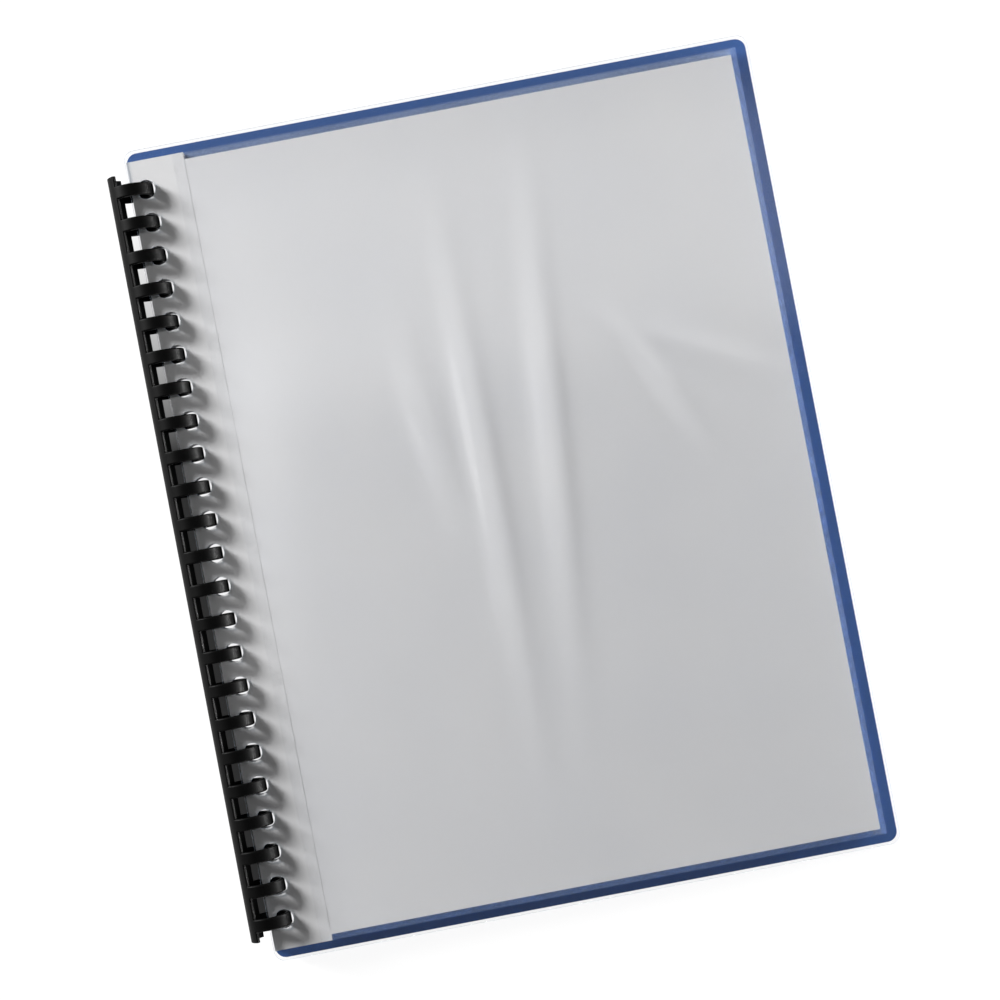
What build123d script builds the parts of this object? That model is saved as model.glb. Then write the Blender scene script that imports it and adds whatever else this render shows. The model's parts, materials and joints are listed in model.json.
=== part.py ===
from build123d import *

import os
from math import asin, atan, cos, floor, hypot, sin

# A clear pocket display book, closed and lying on a table: a clear front cover, ten A4 pocket leaves and
# a blue back cover, all threaded on the rings of a black two-part comb. X runs from the comb to the
# fore-edge, Y up the page to the pocket mouths and Z up from the table. The comb's rings and the back
# cover's fore-edge touch the table, so the sheets lean down to the fore-edge by lie_angle.

# Covers, mm
cover_margin_at_fore_edge = 4.5
cover_margin_at_ends = 4.0
cover_corner_radius = 4.0
front_cover_thickness = 0.5
back_cover_thickness = 0.8
hole_from_cover_edge = 6.1
crease_from_cover_edge = 17.0
crease_width = 1.2
crease_depth = 0.2

# Pocket leaves and their inserts, mm
leaf_count = 10
hole_from_leaf_edge = 5.6
film_thickness = 0.12
strip_width = 21.6
film_lap_on_strip = 4.0
weld_width = 2.0
weld_corner_vent = 3.0
insert_width = 210.0
insert_height = 297.0
insert_thickness = 0.12
insert_clearance = 0.05
insert_play = 0.3
pocket_side_room = 0.3
pocket_mouth_room = 2.7
sheet_clearance = 0.1

# Ring comb, mm and degrees
ring_pitch = 12.7
least_end_room = 9.0
ring_outer_radius = 8.25
ring_thickness = 1.6
ring_width = 4.8
ring_edge_radius = 0.6
ring_hole_room = 1.2
ring_tip_room = 1.0
stack_below_axis = 4.6
bar_overhang = 6.35
bar_half_angle = 53.0
bar_edge_radius = 0.5
comb_parting_gap = 0.1
hinge_bead_radius = 0.45
hinge_clearance = 0.1
hinge_lip_relief = 0.6
peg_radius = 0.35
peg_length = 1.0
peg_clearance = 0.12
socket_extra_depth = 0.2

# Worked out: the leaf is cut to its paper, the covers to the leaf, and the rings fill the leaf's height
leaf_width = strip_width + pocket_side_room + insert_width + insert_play + weld_width
leaf_height = weld_width + insert_play + insert_height + pocket_mouth_room
cover_width = hole_from_cover_edge - hole_from_leaf_edge + leaf_width + cover_margin_at_fore_edge
cover_height = leaf_height + 2 * cover_margin_at_ends
ring_count = 1 + floor((leaf_height - 2 * least_end_room) / ring_pitch)
hole_diameter = ring_width + 2 * ring_hole_room

# Reaches are measured from the ring axis along the sheets
ring_inner_radius = ring_outer_radius - ring_thickness
ring_mid_radius = ring_outer_radius - ring_thickness / 2
comb_length = (ring_count - 1) * ring_pitch + 2 * bar_overhang
hole_reach = ring_outer_radius + ring_tip_room - hole_diameter / 2
cover_left = hole_reach - hole_from_cover_edge
fore_edge = cover_left + cover_width
crease_reach = cover_left + crease_from_cover_edge
leaf_left = hole_reach - hole_from_leaf_edge
leaf_right = leaf_left + leaf_width
strip_right = leaf_left + strip_width
film_left = strip_right - film_lap_on_strip
pocket_gap = insert_thickness + 2 * insert_clearance
leaf_pitch = 2 * film_thickness + pocket_gap + sheet_clearance
insert_right = leaf_right - weld_width - insert_play
insert_bottom = -leaf_height / 2 + weld_width + insert_play

# Levels are measured from the ring axis, square to the sheets
back_cover_bottom = -stack_below_axis
first_leaf_bottom = back_cover_bottom + back_cover_thickness + sheet_clearance
front_cover_bottom = first_leaf_bottom + leaf_count * leaf_pitch
stack_top = front_cover_bottom + front_cover_thickness

# The origin is on the table under the middle of the whole book
fore_edge_from_axis = hypot(fore_edge, stack_below_axis)
lie_angle = asin(ring_outer_radius / fore_edge_from_axis) - atan(stack_below_axis / fore_edge)
fore_edge_x = fore_edge * cos(lie_angle) + stack_top * sin(lie_angle)
ring_x = (ring_outer_radius - fore_edge_x) / 2
ring_z = ring_outer_radius
sheet_plane = Plane(
    origin=(ring_x, 0, ring_z),
    x_dir=(cos(lie_angle), 0, -sin(lie_angle)),
    z_dir=(sin(lie_angle), 0, cos(lie_angle)),
)
comb_plane = Plane(origin=(ring_x, 0, ring_z))
comb_section_plane = Plane(origin=(ring_x, 0, ring_z), x_dir=(1, 0, 0), z_dir=(0, -1, 0))
hinge_reach = ring_outer_radius - hinge_bead_radius

os.makedirs("parts", exist_ok=True)


def save(piece, name):
    """Labels a finished piece and writes it to its own file."""
    piece.part.label = name
    export_step(piece.part, f"parts/{name}.step")


def cut_ring_holes():
    """Punches the row of ring holes in the open sketch of a sheet."""
    with Locations((hole_reach, 0)):
        with GridLocations(ring_pitch, ring_pitch, 1, ring_count):
            Circle(hole_diameter / 2, mode=Mode.SUBTRACT)


def build_cover(name, bottom, thickness, creased):
    """Makes one cover: a rounded sheet with ring holes and, if creased, a hinge crease underneath."""
    with BuildPart() as cover:
        with BuildSketch(sheet_plane.offset(bottom)):
            with Locations((cover_left + cover_width / 2, 0)):
                RectangleRounded(cover_width, cover_height, cover_corner_radius)
            cut_ring_holes()
        extrude(amount=thickness)
        if creased:
            with BuildSketch(sheet_plane.offset(bottom)):
                with Locations((crease_reach, 0)):
                    Rectangle(crease_width, cover_height)
            extrude(amount=crease_depth, mode=Mode.SUBTRACT)
    save(cover, name)


def build_film(name, bottom):
    """Makes one plain pocket film, which laps onto the binding strip and runs to the leaf's fore-edge."""
    with BuildPart() as film:
        with BuildSketch(sheet_plane.offset(bottom)):
            with Locations((film_left, 0)):
                Rectangle(leaf_right - film_left, leaf_height, align=(Align.MIN, Align.CENTER))
        extrude(amount=film_thickness)
    save(film, name)


def build_binding_strip(name, bottom):
    """Makes the punched strip that the two films of a pocket are welded to."""
    with BuildPart() as binding_strip:
        with BuildSketch(sheet_plane.offset(bottom)):
            with Locations((leaf_left, 0)):
                Rectangle(strip_width, leaf_height, align=(Align.MIN, Align.CENTER))
            cut_ring_holes()
        extrude(amount=pocket_gap)
    save(binding_strip, name)


def build_edge_welds(name, bottom):
    """Makes the side and bottom welds that close a pocket, with an air vent left open at their corner."""
    bottom_weld_length = leaf_right - weld_width - weld_corner_vent - strip_right
    with BuildPart() as edge_welds:
        with BuildSketch(sheet_plane.offset(bottom)):
            with Locations((leaf_right, 0)):
                Rectangle(weld_width, leaf_height, align=(Align.MAX, Align.CENTER))
            with Locations((strip_right, -leaf_height / 2)):
                Rectangle(bottom_weld_length, weld_width, align=(Align.MIN, Align.MIN))
        extrude(amount=pocket_gap)
    save(edge_welds, name)


def build_insert(name, bottom):
    """Makes the paper sheet that lies in a pocket, against its fore-edge and on its bottom weld."""
    with BuildPart() as insert_sheet:
        with BuildSketch(sheet_plane.offset(bottom)):
            with Locations((insert_right, insert_bottom)):
                Rectangle(insert_width, insert_height, align=(Align.MAX, Align.MIN))
        extrude(amount=insert_thickness)
    save(insert_sheet, name)


def build_leaf(number):
    """Makes the five pieces of one pocket leaf; leaf 1 lies on top of the stack."""
    leaf = f"pocket_{number:02d}"
    bottom = first_leaf_bottom + (leaf_count - number) * leaf_pitch
    pocket_floor = bottom + film_thickness
    build_film(f"{leaf}_back_film", bottom)
    build_binding_strip(f"{leaf}_binding_strip", pocket_floor)
    build_edge_welds(f"{leaf}_edge_welds", pocket_floor)
    build_insert(f"{leaf}_insert_sheet", pocket_floor + insert_clearance)
    build_film(f"{leaf}_front_film", pocket_floor + pocket_gap)


def build_comb(name, side):
    """Makes one half of the comb; side is 1 for the upper half and -1 for the lower.

    Both halves have half the spine bar and a row of half rings. The lower half also has the hinge bead and
    a socket in each ring tip. The upper half is hollowed to swing on the bead, and its ring tips have pegs
    for the sockets.
    """
    upper = side > 0
    parting_level = side * comb_parting_gap / 2
    with BuildPart() as comb:
        with BuildSketch(comb_section_plane):
            with BuildLine():
                outer = CenterArc((0, 0), ring_outer_radius, 180, -side * bar_half_angle)
                inner = CenterArc((0, 0), ring_inner_radius, 180, -side * bar_half_angle)
                Line(outer @ 0, inner @ 0)
                free_edge = Line(outer @ 1, inner @ 1)
            make_face()
            fillet(vertices().sort_by_distance(free_edge @ 0.5)[:2], bar_edge_radius)
        extrude(amount=comb_length / 2, both=True)
        with BuildSketch(comb_plane):
            with Locations((-ring_mid_radius, 0)):
                with GridLocations(ring_pitch, ring_pitch, 1, ring_count):
                    RectangleRounded(ring_thickness, ring_width, ring_edge_radius)
        revolve(axis=Axis((ring_x, 0, ring_z), (0, side, 0)), revolution_arc=180)
        split(bisect_by=comb_plane.offset(parting_level), keep=Keep.TOP if upper else Keep.BOTTOM)

        with BuildSketch(comb_section_plane):
            with Locations((-hinge_reach, 0)):
                Circle(hinge_bead_radius + hinge_clearance if upper else hinge_bead_radius)
                if upper:
                    Rectangle(ring_thickness, hinge_lip_relief, align=(Align.MAX, Align.MIN))
        extrude(amount=comb_length / 2, both=True, mode=Mode.SUBTRACT if upper else Mode.ADD)

        with BuildSketch(comb_plane.offset(parting_level)):
            with Locations((ring_mid_radius, 0)):
                with GridLocations(ring_pitch, ring_pitch, 1, ring_count):
                    Circle(peg_radius if upper else peg_radius + peg_clearance)
        tip_depth = peg_length if upper else peg_length + socket_extra_depth
        extrude(amount=-tip_depth, mode=Mode.ADD if upper else Mode.SUBTRACT)
    save(comb, name)


build_comb("lower_comb", -1)
build_comb("upper_comb", 1)
build_cover("back_cover", back_cover_bottom, back_cover_thickness, creased=True)
build_cover("front_cover", front_cover_bottom, front_cover_thickness, creased=False)
for leaf_number in range(1, leaf_count + 1):
    build_leaf(leaf_number)
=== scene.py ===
"""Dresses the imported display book: finishes, covers, studio light and the photograph's camera."""

import json
import logging
import math
from dataclasses import dataclass, field
from enum import Enum
from typing import Any

import bpy
from mathutils import Matrix, Vector
from mathutils.geometry import delaunay_2d_cdt

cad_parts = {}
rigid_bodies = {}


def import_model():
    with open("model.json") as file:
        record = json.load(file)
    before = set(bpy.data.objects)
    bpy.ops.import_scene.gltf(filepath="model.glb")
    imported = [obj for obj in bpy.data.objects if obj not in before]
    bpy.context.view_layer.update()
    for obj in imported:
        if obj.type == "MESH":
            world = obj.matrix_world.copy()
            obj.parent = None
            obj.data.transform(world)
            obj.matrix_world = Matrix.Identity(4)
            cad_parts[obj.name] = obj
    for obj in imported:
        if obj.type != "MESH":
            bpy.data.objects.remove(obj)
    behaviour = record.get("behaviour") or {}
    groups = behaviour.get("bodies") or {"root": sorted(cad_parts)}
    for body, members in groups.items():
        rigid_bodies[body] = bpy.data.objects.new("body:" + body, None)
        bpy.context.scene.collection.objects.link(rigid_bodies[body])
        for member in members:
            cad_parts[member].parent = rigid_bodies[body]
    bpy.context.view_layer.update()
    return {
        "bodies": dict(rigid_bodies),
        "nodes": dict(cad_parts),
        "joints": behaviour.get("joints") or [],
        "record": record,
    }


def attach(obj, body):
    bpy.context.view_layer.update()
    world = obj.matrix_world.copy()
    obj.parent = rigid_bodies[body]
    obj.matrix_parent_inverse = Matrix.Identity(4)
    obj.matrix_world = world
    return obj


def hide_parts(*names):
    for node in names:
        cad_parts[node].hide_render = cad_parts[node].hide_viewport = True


log = logging.getLogger("display_book")

# Sizes are written in millimetres, and the scene is in metres
MM = 0.001
PHOTO_SIDE_PX = 1000
SENSOR_MM = 36.0
# The triangulation's mode that keeps what is inside the outline and outside the holes
INSIDE_WITH_HOLES = 2
# Points of a flat mesh that are nearer than this become one, in millimetres
SAME_POINT_MM = 1e-5
# Places of a mix node's colour inputs and colour output
MIX_FIRST_COLOUR = 6
MIX_SECOND_COLOUR = 7
MIX_COLOUR_OUT = 2
# A free face of clear plastic mirrors 4% seen square on and all at a glance, which is 24 times 4% more
GLANCING_RISE = 24.0
GLANCING_POWER = 5.0
# At the fore-edge every leaf has six clear faces, so light passes many of them
MOST_CLEAR_FACES = 96


class Slot(Enum):
    """The record's material slots."""

    COMB = "comb"
    BACK_COVER = "back_cover"
    FRONT_COVER = "front_cover"
    POCKET_FILM = "pocket_film"
    BINDING_STRIP = "binding_strip"
    INSERT_PAPER = "insert_paper"


def linear_from_hex(code: str) -> tuple[float, float, float, float]:
    """Turns an sRGB colour into the linear colour that the shaders take.

    Args:
        code: the colour as #rrggbb.

    Returns:
        Linear red, green and blue, and an alpha of 1.
    """
    channels = [int(code[start:start + 2], 16) / 255 for start in (1, 3, 5)]
    red, green, blue = [c / 12.92 if c <= 0.04045 else ((c + 0.055) / 1.055) ** 2.4 for c in channels]
    return red, green, blue, 1.0


def add_node(
    tree: bpy.types.NodeTree,
    kind: str,
    inputs: dict[str | int, Any] | None = None,
    **settings: Any,
) -> bpy.types.Node:
    """Adds a shader node with its settings and links.

    Args:
        tree: the node tree that gets the node.
        kind: the node's type, such as ShaderNodeTexNoise.
        inputs: for an input's name or number, its value or the output that feeds it.
        settings: the node's own options, such as operation.

    Returns:
        The new node.
    """
    node = tree.nodes.new(kind)
    for name, value in settings.items():
        setattr(node, name, value)
    for name, value in (inputs or {}).items():
        if isinstance(value, bpy.types.NodeSocket):
            tree.links.new(value, node.inputs[name])
        else:
            node.inputs[name].default_value = value
    return node


def per_metre(size_mm: float) -> float:
    """Gives the texture scale at which a pattern's features are this many millimetres across."""
    return 1 / (size_mm * MM)


@dataclass(frozen=True)
class SheetFrame:
    """The leaning frame of the sheets: reach from the ring axis, y up the page, level square to the sheets.

    Attributes:
        axis_x: x of the ring axis, in metres.
        axis_z: z of the ring axis, in metres.
        lie_angle: how far the sheets lean down to the fore-edge, in radians.
    """

    axis_x: float
    axis_z: float
    lie_angle: float

    @classmethod
    def from_frame(cls, frame: dict[str, Any]) -> "SheetFrame":
        """Reads the ring axis from the spine's joint and the lean from the face that the book rests on.

        Args:
            frame: the loaded frame.

        Returns:
            The frame of the sheets.
        """
        spine = next(joint for joint in frame["joints"] if joint["name"] == "spine_roll")
        rest_face = next(mount for mount in frame["record"]["mounts"] if mount["name"] == "rest_face")
        down_x, _, down_z = rest_face["axis"]
        return cls(spine["pos_m"][0], spine["pos_m"][2], math.atan2(-down_x, -down_z))

    def matrix(self) -> Matrix:
        """Gives the matrix from reach, y and level to the object's frame."""
        return Matrix.Translation((self.axis_x, 0, self.axis_z)) @ Matrix.Rotation(self.lie_angle, 4, "Y")

    def box(self, node: bpy.types.Object) -> tuple[Vector, Vector]:
        """Finds a node's corners in this frame.

        Args:
            node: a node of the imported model.

        Returns:
            Its lowest and its highest corner, in metres.
        """
        back = self.matrix().inverted()
        points = [back @ vertex.co for vertex in node.data.vertices]
        low = Vector([min(point[axis] for point in points) for axis in range(3)])
        high = Vector([max(point[axis] for point in points) for axis in range(3)])
        return low, high


@dataclass(frozen=True)
class Finish:
    """A surface finish.

    Attributes:
        name: the material's name.
    """

    name: str

    def start(
        self,
    ) -> tuple[bpy.types.Material, bpy.types.NodeTree, bpy.types.NodeSocket, bpy.types.NodeSocket]:
        """Starts the material.

        Returns:
            The material, its tree, the surface input of its output, and the object's own coordinates.
        """
        material = bpy.data.materials.new(self.name)
        material.use_nodes = True
        tree = material.node_tree
        tree.nodes.clear()
        output = add_node(tree, "ShaderNodeOutputMaterial")
        coordinates = add_node(tree, "ShaderNodeTexCoord")
        return material, tree, output.inputs["Surface"], coordinates.outputs["Object"]

    def material(self) -> bpy.types.Material:
        """Builds the material; each finish has its own."""
        raise NotImplementedError


@dataclass(frozen=True)
class OpaqueSheet(Finish):
    """A solid-coloured plastic or paper surface, with a mottle in its colour and a fine grain.

    Attributes:
        colour: its usual colour.
        mottle: the colour that it drifts to.
        mottle_mm: size of the drift.
        roughness: lowest and highest roughness.
        ior: index of refraction.
        grain_mm: size of the grain.
        grain_depth_mm: depth of the grain.
        gloss: how much of a smooth surface's mirror light the grain leaves, where 0.5 is all of it.
    """

    colour: str
    mottle: str
    mottle_mm: float
    roughness: tuple[float, float]
    ior: float
    grain_mm: float
    grain_depth_mm: float
    gloss: float = 0.5

    def material(self) -> bpy.types.Material:
        """Builds the material."""
        material, tree, surface, place = self.start()
        drift = add_node(tree, "ShaderNodeTexNoise", {
            "Vector": place, "Scale": per_metre(self.mottle_mm), "Detail": 3.0})
        colour = add_node(tree, "ShaderNodeMix", {
            "Factor": drift.outputs["Fac"],
            MIX_FIRST_COLOUR: linear_from_hex(self.colour),
            MIX_SECOND_COLOUR: linear_from_hex(self.mottle)}, data_type="RGBA")
        grain = add_node(tree, "ShaderNodeTexNoise", {
            "Vector": place, "Scale": per_metre(self.grain_mm), "Detail": 2.0})
        roughness = add_node(tree, "ShaderNodeMapRange", {
            "Value": grain.outputs["Fac"], "To Min": self.roughness[0], "To Max": self.roughness[1]})
        bump = add_node(tree, "ShaderNodeBump", {
            "Height": grain.outputs["Fac"], "Distance": self.grain_depth_mm * MM, "Strength": 1.0})
        shader = add_node(tree, "ShaderNodeBsdfPrincipled", {
            "Base Color": colour.outputs[MIX_COLOUR_OUT], "Roughness": roughness.outputs["Result"],
            "IOR": self.ior, "Specular IOR Level": self.gloss, "Normal": bump.outputs["Normal"]})
        tree.links.new(shader.outputs["BSDF"], surface)
        return material


@dataclass(frozen=True)
class ClearSheet(Finish):
    """Clear polypropylene: it lets light straight through, mirrors a little and scatters a little.

    Attributes:
        tint: colour of the light that it lets through.
        veil: colour of the light that it scatters.
        haze: share of the light that each face scatters.
        roughness: how far each face blurs what it mirrors.
        cloud_mm: size of the clouds in its haze.
        mirrored: share of the light that each face mirrors, seen square on.
    """

    tint: str
    veil: str
    haze: float
    roughness: float
    cloud_mm: float
    mirrored: float = 0.04

    def material(self) -> bpy.types.Material:
        """Builds the material."""
        material, tree, surface, place = self.start()
        # The mirrored share rises towards glancing angles, the same on both faces of the thin sheet
        glance = add_node(tree, "ShaderNodeLayerWeight", {"Blend": 0.5})
        rise = add_node(tree, "ShaderNodeMath", {
            0: glance.outputs["Facing"], 1: GLANCING_POWER}, operation="POWER")
        share = add_node(tree, "ShaderNodeMath", {
            0: rise.outputs[0], 1: GLANCING_RISE * self.mirrored, 2: self.mirrored},
            operation="MULTIPLY_ADD")
        through = add_node(tree, "ShaderNodeBsdfTransparent", {"Color": linear_from_hex(self.tint)})
        mirror = add_node(tree, "ShaderNodeBsdfGlossy", {
            "Roughness": self.roughness, "Color": (1.0, 1.0, 1.0, 1.0)})
        clear = add_node(tree, "ShaderNodeMixShader", {
            0: share.outputs[0], 1: through.outputs[0], 2: mirror.outputs[0]})
        clouds = add_node(tree, "ShaderNodeTexNoise", {
            "Vector": place, "Scale": per_metre(self.cloud_mm), "Detail": 0.0})
        haze = add_node(tree, "ShaderNodeMapRange", {
            "Value": clouds.outputs["Fac"], "To Min": 0.5 * self.haze, "To Max": 1.5 * self.haze})
        scatter = add_node(tree, "ShaderNodeBsdfDiffuse", {"Color": linear_from_hex(self.veil)})
        sheet = add_node(tree, "ShaderNodeMixShader", {
            0: haze.outputs["Result"], 1: clear.outputs[0], 2: scatter.outputs[0]})
        tree.links.new(sheet.outputs[0], surface)
        return material


# Injection-moulded polypropylene, deep black, whose eroded mould leaves a satin grain with hardly any gloss
MOULDED_BLACK = OpaqueSheet(
    "moulded_black_polypropylene", "#030303", "#050505", mottle_mm=9.0, roughness=(0.42, 0.54), ior=1.49,
    grain_mm=0.5, grain_depth_mm=0.015, gloss=0.06)
# Extruded polypropylene sheet, coloured through, with a fine emboss that softens its gloss
EMBOSSED_BLUE = OpaqueSheet(
    "embossed_blue_polypropylene", "#2e5088", "#2b4b80", mottle_mm=30.0, roughness=(0.34, 0.46), ior=1.49,
    grain_mm=0.6, grain_depth_mm=0.02, gloss=0.3)
# Uncoated white paper, whose fibres scatter all the light that it sends back
PLAIN_PAPER = OpaqueSheet(
    "uncoated_paper", "#f7f7f8", "#f2f2f3", mottle_mm=40.0, roughness=(0.85, 0.95), ior=1.5,
    grain_mm=0.8, grain_depth_mm=0.01)
# Frosted polypropylene strip, milky white, with the matt of its rollers
FROSTED_STRIP = OpaqueSheet(
    "frosted_polypropylene_strip", "#f7f7f8", "#f1f1f2", mottle_mm=25.0, roughness=(0.45, 0.6), ior=1.49,
    grain_mm=0.5, grain_depth_mm=0.01)
# Heat-welded film: its fused faces mirror hardly any light, and its ribbed cloud is tinted blue as painted
# light, standing in for the blue cover below showing through
WELDED_SEAM = ClearSheet(
    "welded_polypropylene_seam", "#fdfdfd", "#6f97dd", haze=0.055, roughness=0.3, cloud_mm=6.0,
    mirrored=0.002)
# Clear extruded polypropylene sheet, glossy and a little slack
CLEAR_COVER = ClearSheet(
    "clear_polypropylene_sheet", "#fefefe", "#e8e8e9", haze=0.005, roughness=0.12, cloud_mm=50.0)
# The same sheet where it is cut, whose rough edge scatters the light that runs inside the sheet
CUT_EDGE = ClearSheet(
    "cut_polypropylene_edge", "#c9d3de", "#aeb9c7", haze=0.45, roughness=0.35, cloud_mm=8.0)
# Cast polypropylene film, clear; its faint blue haze is painted light, standing in for the blue cover below
# showing through; it clings to what it lies on, so it mirrors little
POCKET_FILM = ClearSheet(
    "cast_polypropylene_film", "#fefefe", "#bcd0f2", haze=0.014, roughness=0.2, cloud_mm=35.0,
    mirrored=0.002)


@dataclass(frozen=True)
class WhiteTable(Finish):
    """White-painted table, which the camera and the glossy faces see as a white backdrop with soft shadows;
    a dark strip of painted shade lies in the slot between the comb and the sheets.

    Attributes:
        paint: its colour, as its light falls on the book.
        shadow_paint: the part of its colour that shows the shadows on the backdrop.
        backdrop_light: the light of the backdrop, where 1 is white.
        painted_slot_shade: colour painted on it as shade in the slot between the comb and the sheets.
        slot_sides: x of the two sides of that slot, in metres.
        slot_half_length: half the length of the slot, in metres.
        slot_fade_start: y from which that painted shade fades towards the slot's top end, in metres.
    """

    paint: str = "#e4e4e4"
    shadow_paint: str = "#6c6c6c"
    backdrop_light: float = 0.9
    # Dark colour painted on the table as shade in the slot between the comb and the sheets
    painted_slot_shade: str = "#303030"
    slot_sides: tuple[float, float] = (-0.1225, -0.1158)
    slot_half_length: float = 0.14
    slot_fade_start: float = 0.04

    def material(self) -> bpy.types.Material:
        """Builds the material."""
        material, tree, surface, place = self.start()
        path = add_node(tree, "ShaderNodeLightPath")
        seen = add_node(tree, "ShaderNodeMath", {
            0: path.outputs["Is Camera Ray"], 1: path.outputs["Is Glossy Ray"]}, operation="MAXIMUM")
        shown = add_node(tree, "ShaderNodeMath", {
            0: seen.outputs[0], 1: path.outputs["Is Transmission Ray"]}, operation="MAXIMUM")
        parts = add_node(tree, "ShaderNodeSeparateXYZ", {0: place})
        left, right = self.slot_sides
        across = add_node(tree, "ShaderNodeMath", {
            0: parts.outputs["X"], 1: (left + right) / 2, 2: (right - left) / 2}, operation="COMPARE")
        along = add_node(tree, "ShaderNodeMath", {
            0: parts.outputs["Y"], 1: 0.0, 2: self.slot_half_length}, operation="COMPARE")
        fade = add_node(tree, "ShaderNodeMapRange", {
            "Value": parts.outputs["Y"], "From Min": self.slot_fade_start,
            "From Max": self.slot_half_length, "To Min": 1.0, "To Max": 0.0})
        inside = add_node(tree, "ShaderNodeMath", {
            0: across.outputs[0], 1: along.outputs[0]}, operation="MULTIPLY")
        # Painted shade: the slot between the comb and the sheets gets a dark colour painted on the table,
        # fading out towards the slot's top end; it stays put when the comb moves
        shade = add_node(tree, "ShaderNodeMath", {
            0: inside.outputs[0], 1: fade.outputs["Result"]}, operation="MULTIPLY")
        shadow = add_node(tree, "ShaderNodeBsdfDiffuse", {"Color": linear_from_hex(self.shadow_paint)})
        white = add_node(tree, "ShaderNodeEmission", {"Strength": self.backdrop_light})
        backdrop = add_node(tree, "ShaderNodeAddShader", {0: shadow.outputs[0], 1: white.outputs[0]})
        painted_shade_shader = add_node(tree, "ShaderNodeBsdfDiffuse", {"Color": linear_from_hex(self.painted_slot_shade)})
        pictured = add_node(tree, "ShaderNodeMixShader", {
            0: shade.outputs[0], 1: backdrop.outputs[0], 2: painted_shade_shader.outputs[0]})
        lit = add_node(tree, "ShaderNodeBsdfDiffuse", {"Color": linear_from_hex(self.paint)})
        top = add_node(tree, "ShaderNodeMixShader", {
            0: shown.outputs[0], 1: lit.outputs[0], 2: pictured.outputs[0]})
        tree.links.new(top.outputs[0], surface)
        return material


@dataclass(frozen=True)
class Ripple:
    """A long low swell in a slack clear sheet, in millimetres on the sheet.

    Attributes:
        reach: its middle, from the sheet's bound edge.
        y: its middle, up from the sheet's middle.
        length: how far it runs from its middle before it has sunk to a third.
        width: the same, across it.
        height: its height.
        turn: how far its run is turned anticlockwise from straight up the page, in degrees.
    """

    reach: float
    y: float
    length: float
    width: float
    height: float
    turn: float = 0.0

    def lift(self, reach: float, y: float) -> float:
        """Gives the height of the swell at a point.

        Args:
            reach: the point's distance from the bound edge, in millimetres.
            y: the point's height above the sheet's middle, in millimetres.

        Returns:
            The height, in millimetres.
        """
        sine, cosine = math.sin(math.radians(self.turn)), math.cos(math.radians(self.turn))
        across = (reach - self.reach) * cosine + (y - self.y) * sine
        along = (y - self.y) * cosine - (reach - self.reach) * sine
        return self.height * math.exp(-((across / self.width) ** 2) - (along / self.length) ** 2)


@dataclass(frozen=True)
class Crease:
    """A hinge crease pressed into the underside of a cover, in millimetres.

    Attributes:
        reach: its middle, from the sheet's bound edge.
        width: its width.
        depth: its depth.
    """

    reach: float = 17.0
    width: float = 1.2
    depth: float = 0.2

    def lines(self) -> tuple[float, float, float]:
        """Gives the reaches of its two sides and its middle."""
        return self.reach - self.width / 2, self.reach, self.reach + self.width / 2

    def lift(self, reach: float) -> float:
        """Gives how far the underside is pressed in at a reach; only the middle line is."""
        return self.depth if abs(reach - self.reach) < self.width / 4 else 0.0


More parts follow.
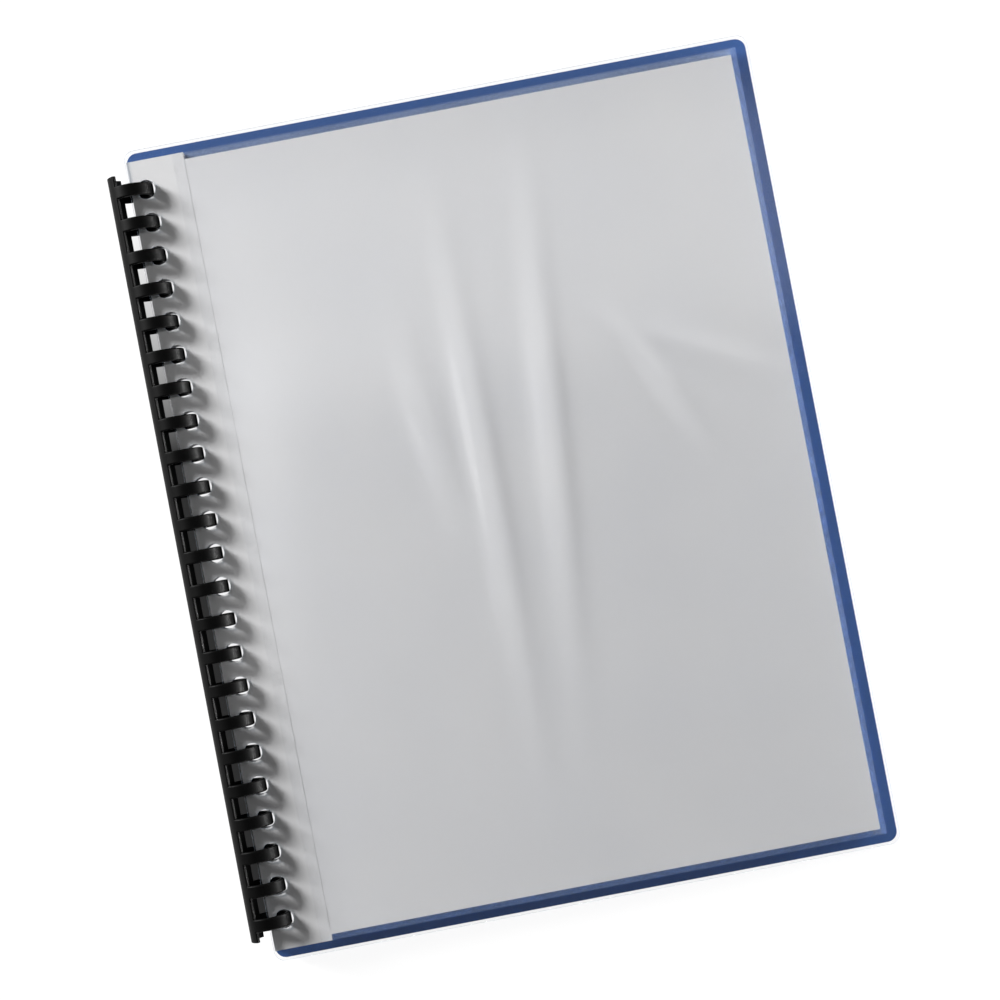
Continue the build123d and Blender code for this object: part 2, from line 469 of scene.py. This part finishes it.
@dataclass
class PunchedCover:
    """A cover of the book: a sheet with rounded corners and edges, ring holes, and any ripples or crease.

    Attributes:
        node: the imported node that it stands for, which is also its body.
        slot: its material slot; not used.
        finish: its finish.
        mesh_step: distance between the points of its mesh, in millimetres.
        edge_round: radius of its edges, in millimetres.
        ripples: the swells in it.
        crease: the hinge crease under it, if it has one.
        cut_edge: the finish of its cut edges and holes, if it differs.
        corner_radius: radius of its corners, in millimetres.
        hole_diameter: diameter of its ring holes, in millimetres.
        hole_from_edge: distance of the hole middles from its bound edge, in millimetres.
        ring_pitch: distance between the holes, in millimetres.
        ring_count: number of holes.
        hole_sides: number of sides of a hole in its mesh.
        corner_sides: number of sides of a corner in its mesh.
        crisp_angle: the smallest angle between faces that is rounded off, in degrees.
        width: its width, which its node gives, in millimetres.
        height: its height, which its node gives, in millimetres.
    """

    node: str
    slot: Slot
    finish: Finish
    mesh_step: float
    edge_round: float
    ripples: tuple[Ripple, ...] = ()
    crease: Crease | None = None
    cut_edge: Finish | None = None
    corner_radius: float = 4.0
    hole_diameter: float = 7.2
    hole_from_edge: float = 6.1
    ring_pitch: float = 12.7
    ring_count: int = 23
    hole_sides: int = 32
    corner_sides: int = 8
    crisp_angle: float = 60.0
    width: float = field(init=False, default=0.0)
    height: float = field(init=False, default=0.0)

    def hole_heights(self) -> list[float]:
        """Gives the heights of the hole middles, in millimetres from the sheet's middle."""
        return [self.ring_pitch * (number - (self.ring_count - 1) / 2) for number in range(self.ring_count)]

    def outline(self) -> list[Vector]:
        """Draws the sheet's edge, anticlockwise, with a point every mesh step along its straights.

        Returns:
            The points, as reach and height in millimetres.
        """
        points = []
        inset = self.corner_radius
        middles = [
            (self.width - inset, self.height / 2 - inset, 0.0),
            (inset, self.height / 2 - inset, 90.0),
            (inset, inset - self.height / 2, 180.0),
            (self.width - inset, inset - self.height / 2, 270.0),
        ]
        for reach, y, start in middles:
            for side in range(self.corner_sides + 1):
                angle = math.radians(start + 90 * side / self.corner_sides)
                points.append(Vector((reach + inset * math.cos(angle), y + inset * math.sin(angle))))
        edge = []
        for point, following in zip(points, points[1:] + points[:1]):
            steps = max(1, round((following - point).length / self.mesh_step))
            edge.extend(point.lerp(following, step / steps) for step in range(steps))
        return edge

    def hole(self, y: float) -> list[Vector]:
        """Draws one ring hole.

        Args:
            y: height of its middle, in millimetres.

        Returns:
            The points of its edge.
        """
        radius = self.hole_diameter / 2
        points = []
        for side in range(self.hole_sides):
            angle = 2 * math.pi * side / self.hole_sides
            reach = self.hole_from_edge + radius * math.cos(angle)
            points.append(Vector((reach, y + radius * math.sin(angle))))
        return points

    def is_inner(self, reach: float, y: float) -> bool:
        """Tells whether a point is well inside the sheet, clear of its edge and its holes.

        Args:
            reach: the point's distance from the bound edge, in millimetres.
            y: its height, in millimetres.

        Returns:
            True if the mesh may have a point there.
        """
        # Points nearer to an edge than this would make slivers
        clear = 0.6 * self.mesh_step
        past_x = abs(reach - self.width / 2) - (self.width / 2 - self.corner_radius)
        past_y = abs(y) - (self.height / 2 - self.corner_radius)
        corner = math.hypot(max(past_x, 0.0), max(past_y, 0.0)) - self.corner_radius
        inside = corner + min(max(past_x, past_y), 0.0) < -clear
        nearest = min(abs(y - middle) for middle in self.hole_heights())
        if self.crease and abs(reach - self.crease.reach) < self.crease.width / 2 + clear:
            return False
        return inside and math.hypot(reach - self.hole_from_edge, nearest) > self.hole_diameter / 2 + clear

    def flat_mesh(self) -> tuple[list[Vector], list[list[int]]]:
        """Meshes the flat sheet with even triangles.

        Returns:
            The points, as reach and height in millimetres, and the triangles.
        """
        loops = [self.outline()] + [self.hole(y) for y in self.hole_heights()]
        points: list[Vector] = []
        faces: list[list[int]] = []
        for loop in loops:
            faces.append(list(range(len(points), len(points) + len(loop))))
            points.extend(loop)
        for reach in self.crease.lines() if self.crease else ():
            steps = round(self.height / self.mesh_step)
            points += [Vector((reach, self.height * (step / steps - 0.5))) for step in range(steps + 1)]
        row_step = self.mesh_step * math.sqrt(3) / 2
        for row in range(int(self.height / row_step)):
            y = row * row_step - self.height / 2
            stagger = 0.5 * (row % 2)
            for column in range(int(self.width / self.mesh_step) + 1):
                reach = (column + stagger) * self.mesh_step
                if self.is_inner(reach, y):
                    points.append(Vector((reach, y)))
        flat, _, triangles, *_ = delaunay_2d_cdt(points, [], faces, INSIDE_WITH_HOLES, SAME_POINT_MM)
        return flat, triangles

    def build(self, frame: dict[str, Any], sheets: SheetFrame) -> bpy.types.Object:
        """Builds the cover in the place of its node and dresses it.

        Args:
            frame: the loaded frame.
            sheets: the frame of the sheets.

        Returns:
            The cover.
        """
        low, high = sheets.box(frame["nodes"][self.node])
        self.width, self.height = (high.x - low.x) / MM, (high.y - low.y) / MM
        flat, triangles = self.flat_mesh()
        to_object = sheets.matrix()
        count = len(flat)
        lifts = [sum(ripple.lift(point.x, point.y) for ripple in self.ripples) for point in flat]
        presses = [self.crease.lift(point.x) if self.crease else 0.0 for point in flat]
        upper = [high.z + lift * MM for lift in lifts]
        lower = [low.z + (lift + press) * MM for lift, press in zip(lifts, presses)]
        points = [
            to_object @ Vector((low.x + point.x * MM, point.y * MM, level))
            for point, level in zip(flat + flat, upper + lower)
        ]
        faces = [list(triangle) for triangle in triangles]
        faces += [[corner + count for corner in reversed(triangle)] for triangle in triangles]
        sides = {(a, b) for triangle in triangles for a, b in zip(triangle, triangle[1:] + triangle[:1])}
        faces += [[a, a + count, b + count, b] for a, b in sorted(sides) if (b, a) not in sides]
        mesh = bpy.data.meshes.new(f"{self.node}_sheet")
        mesh.from_pydata(points, [], faces)
        mesh.shade_smooth()
        mesh.materials.append(self.finish.material())
        if self.cut_edge:
            mesh.materials.append(self.cut_edge.material())
            for side in mesh.polygons[2 * len(triangles):]:
                side.material_index = 1
        cover = bpy.data.objects.new(f"{self.node}_sheet", mesh)
        bpy.context.scene.collection.objects.link(cover)
        rounding = cover.modifiers.new("edge_round", "BEVEL")
        rounding.width = self.edge_round * MM
        rounding.segments = 2
        rounding.angle_limit = math.radians(self.crisp_angle)
        cover.modifiers.new("flat_faces", "WEIGHTED_NORMAL")
        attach(cover, self.node)
        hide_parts(self.node)
        return cover


@dataclass
class RingComb:
    """The two moulded halves of the ring comb.

    Attributes:
        nodes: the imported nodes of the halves.
    """

    nodes: tuple[str, ...] = ("lower_comb", "upper_comb")

    def dress(self, frame: dict[str, Any]) -> None:
        """Gives both halves their finish.

        Args:
            frame: the loaded frame.
        """
        finish = MOULDED_BLACK.material()
        for node in self.nodes:
            dress_node(frame["nodes"][node], finish)


@dataclass
class PocketLeaves:
    """The pocket leaves with their paper inserts.

    Attributes:
        finishes: the finish of each kind of piece, by the end of its node's name.
        bead_width: width of the weld bead along each strip, in millimetres.
    """

    finishes: dict[str, Finish] = field(default_factory=lambda: {
        "_back_film": POCKET_FILM,
        "_front_film": POCKET_FILM,
        "_binding_strip": FROSTED_STRIP,
        "_edge_welds": WELDED_SEAM,
        "_insert_sheet": PLAIN_PAPER,
    })
    bead_width: float = 0.25

    def build(self, frame: dict[str, Any], sheets: SheetFrame) -> None:
        """Gives every piece of every leaf its finish, and every strip its weld bead.

        Args:
            frame: the loaded frame.
            sheets: the frame of the sheets.
        """
        for ending, finish in self.finishes.items():
            material = finish.material()
            for name, node in frame["nodes"].items():
                if name.endswith(ending):
                    dress_node(node, material)
        bead_finish = FROSTED_STRIP.material()
        for name, node in frame["nodes"].items():
            if name.endswith("_binding_strip"):
                self.build_bead(name.removesuffix("_binding_strip"), node, sheets, bead_finish)

    def build_bead(
        self,
        leaf: str,
        strip: bpy.types.Object,
        sheets: SheetFrame,
        finish: bpy.types.Material,
    ) -> None:
        """Builds the bead that welding squeezes out along a strip's inner edge.

        Args:
            leaf: the leaf's body.
            strip: its binding strip.
            sheets: the frame of the sheets.
            finish: the bead's material.
        """
        low, high = sheets.box(strip)
        corners = [(reach, y, level) for reach in (high.x, high.x + self.bead_width * MM)
                   for y in (low.y, high.y) for level in (low.z, high.z)]
        faces = [(0, 1, 3, 2), (4, 6, 7, 5), (0, 4, 5, 1), (2, 3, 7, 6), (0, 2, 6, 4), (1, 5, 7, 3)]
        to_object = sheets.matrix()
        mesh = bpy.data.meshes.new(f"{leaf}_weld_bead")
        mesh.from_pydata([to_object @ Vector(corner) for corner in corners], [], faces)
        mesh.materials.append(finish)
        bead = bpy.data.objects.new(f"{leaf}_weld_bead", mesh)
        bpy.context.scene.collection.objects.link(bead)
        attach(bead, leaf)
        log.info("%s: %s", bead.name, finish.name)


def dress_node(node: bpy.types.Object, material: bpy.types.Material) -> None:
    """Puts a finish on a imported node.

    Args:
        node: the node.
        material: its new material.
    """
    node.data.materials.clear()
    node.data.materials.append(material)
    log.info("%s: %s", node.name, material.name)


@dataclass(frozen=True)
class PhotoCamera:
    """The photograph's camera, nearly straight above the book.

    Attributes:
        place_mm: where it is.
        turn_deg: its turn from looking straight down with +Y up, as a rotation vector.
        focal_px: its focal length in pixels of the photograph.
    """

    place_mm: tuple[float, float, float] = (10.1, -10.12, 800.0)
    turn_deg: tuple[float, float, float] = (0.627, 0.827, -10.84)
    focal_px: float = 2103.4

    def matrix(self) -> Matrix:
        """Gives the camera's place and turn."""
        turn = Vector([math.radians(angle) for angle in self.turn_deg])
        place = Matrix.Translation(Vector(self.place_mm) * MM)
        return place @ Matrix.Rotation(turn.length, 4, turn.normalized())

    def build(self) -> bpy.types.Object:
        """Builds the camera and makes it the scene's own.

        Returns:
            The camera.
        """
        lens = bpy.data.cameras.new("photo_camera")
        lens.sensor_width = SENSOR_MM
        lens.lens = self.focal_px * SENSOR_MM / PHOTO_SIDE_PX
        lens.clip_start = 0.01
        lens.clip_end = 50.0
        camera = bpy.data.objects.new("photo_camera", lens)
        camera.matrix_world = self.matrix()
        bpy.context.scene.collection.objects.link(camera)
        bpy.context.scene.camera = camera
        return camera


@dataclass(frozen=True)
class Softbox:
    """A rectangular studio lamp that faces the middle of the book.

    Attributes:
        name: its name.
        bearing: its direction in the photograph, in degrees clockwise from up.
        elevation: its height above the table, in degrees.
        distance: its distance from the book, in metres.
        size: its width and height, in metres.
        power: its power, in watts.
    """

    name: str
    bearing: float
    elevation: float
    distance: float
    size: tuple[float, float]
    power: float

    def build(self, photo_turn: float) -> bpy.types.Object:
        """Builds the lamp.

        Args:
            photo_turn: the camera's turn about the vertical, in radians.

        Returns:
            The lamp.
        """
        heading = math.radians(90 - self.bearing) + photo_turn
        rise = math.radians(self.elevation)
        level = math.cos(rise)
        toward = Vector((math.cos(heading) * level, math.sin(heading) * level, math.sin(rise)))
        light = bpy.data.lights.new(self.name, "AREA")
        light.shape = "RECTANGLE"
        light.size, light.size_y = self.size
        light.energy = self.power
        lamp = bpy.data.objects.new(self.name, light)
        facing = toward.to_track_quat("Z", "Y").to_matrix().to_4x4()
        lamp.matrix_world = Matrix.Translation(toward * self.distance) @ facing
        lamp.visible_camera = False
        bpy.context.scene.collection.objects.link(lamp)
        return lamp


@dataclass(frozen=True)
class Studio:
    """The table, the room and the lamps.

    Attributes:
        lamps: the softboxes.
        table_finish: the finish of the table.
        table_side: side of the table, in metres.
        wall_light: brightness of the pale walls round the book.
        ceiling_light: brightness of the ceiling above it.
        wall_top: rise of the direction at which the walls start to darken, as a sine.
        ceiling_start: rise of the direction at which the ceiling starts, as a sine.
    """

    lamps: tuple[Softbox, ...] = (
        Softbox("key_softbox", -68.0, 18.5, 2.5, (0.6, 0.7), 170.0),
        Softbox("top_softbox", -10.84, 78.8, 1.3, (0.8, 0.222), 0.44),
        Softbox("left_strip", -90.0, 80.2, 1.3, (0.36, 0.055), 0.1),
        Softbox("right_softbox", 79.16, 4.0, 0.45, (0.4, 0.05), 8.3),
        Softbox("near_softbox", 169.16, 4.0, 0.48, (0.34, 0.05), 2.25),
    )
    table_finish: WhiteTable = WhiteTable("white_table")
    table_side: float = 12.0
    wall_light: float = 0.15
    ceiling_light: float = 0.06
    wall_top: float = 0.25
    ceiling_start: float = 0.75

    def build(self, photo_turn: float) -> None:
        """Builds the studio.

        Args:
            photo_turn: the camera's turn about the vertical, in radians.
        """
        self.build_table()
        self.build_room()
        for lamp in self.lamps:
            lamp.build(photo_turn)

    def build_table(self) -> None:
        """Builds the white table top, which shows the book's soft shadow and the painted shade in the slot
        by the comb.
        """
        half = self.table_side / 2
        corners = [(-half, -half, 0), (half, -half, 0), (half, half, 0), (-half, half, 0)]
        mesh = bpy.data.meshes.new("table_top")
        mesh.from_pydata(corners, [], [(0, 1, 2, 3)])
        mesh.materials.append(self.table_finish.material())
        table = bpy.data.objects.new("table_top", mesh)
        bpy.context.scene.collection.objects.link(table)

    def build_room(self) -> None:
        """Builds the room: pale walls and a dimmer ceiling, which the clear sheets mirror."""
        room = bpy.data.worlds.new("studio_room")
        room.use_nodes = True
        tree = room.node_tree
        tree.nodes.clear()
        direction = add_node(tree, "ShaderNodeTexCoord")
        parts = add_node(tree, "ShaderNodeSeparateXYZ", {0: direction.outputs["Generated"]})
        level = add_node(tree, "ShaderNodeMapRange", {
            "Value": parts.outputs["Z"], "From Min": self.wall_top, "From Max": self.ceiling_start,
            "To Min": self.wall_light, "To Max": self.ceiling_light})
        background = add_node(tree, "ShaderNodeBackground", {"Strength": level.outputs["Result"]})
        add_node(tree, "ShaderNodeOutputWorld", {"Surface": background.outputs[0]})
        bpy.context.scene.world = room


# The slack clear cover: two long swells and a faint one near the page's middle, and two at its right
COVER_RIPPLES = (
    Ripple(111.5, 12.0, 75.0, 5.0, 0.62),
    Ripple(138.5, 22.0, 75.0, 5.0, 0.62, -4.9),
    Ripple(94.0, 28.0, 35.0, 6.0, 0.40, 8.5),
    Ripple(183.0, 34.0, 26.0, 4.0, 0.35, 26.0),
    Ripple(207.0, 38.0, 30.0, 4.0, 0.25, 61.0),
)


def main() -> None:
    """Builds the dressed book, its studio and its camera."""
    logging.basicConfig(level=logging.INFO, format="%(message)s")
    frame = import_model()
    sheets = SheetFrame.from_frame(frame)
    scene = bpy.context.scene
    scene.view_settings.view_transform = "Standard"
    scene.cycles.transparent_max_bounces = MOST_CLEAR_FACES
    covers = (
        PunchedCover(
            "back_cover", Slot.BACK_COVER, EMBOSSED_BLUE, mesh_step=6.0, edge_round=0.25, crease=Crease()),
        PunchedCover(
            "front_cover", Slot.FRONT_COVER, CLEAR_COVER, mesh_step=2.4, edge_round=0.12,
            ripples=COVER_RIPPLES, cut_edge=CUT_EDGE),
    )
    for cover in covers:
        piece = cover.build(frame, sheets)
        log.info("%s: %d faces", piece.name, len(piece.data.polygons))
    RingComb().dress(frame)
    PocketLeaves().build(frame, sheets)
    camera = PhotoCamera()
    camera.build()
    Studio().build(math.radians(camera.turn_deg[2]))


if __name__ == "__main__":
    main()
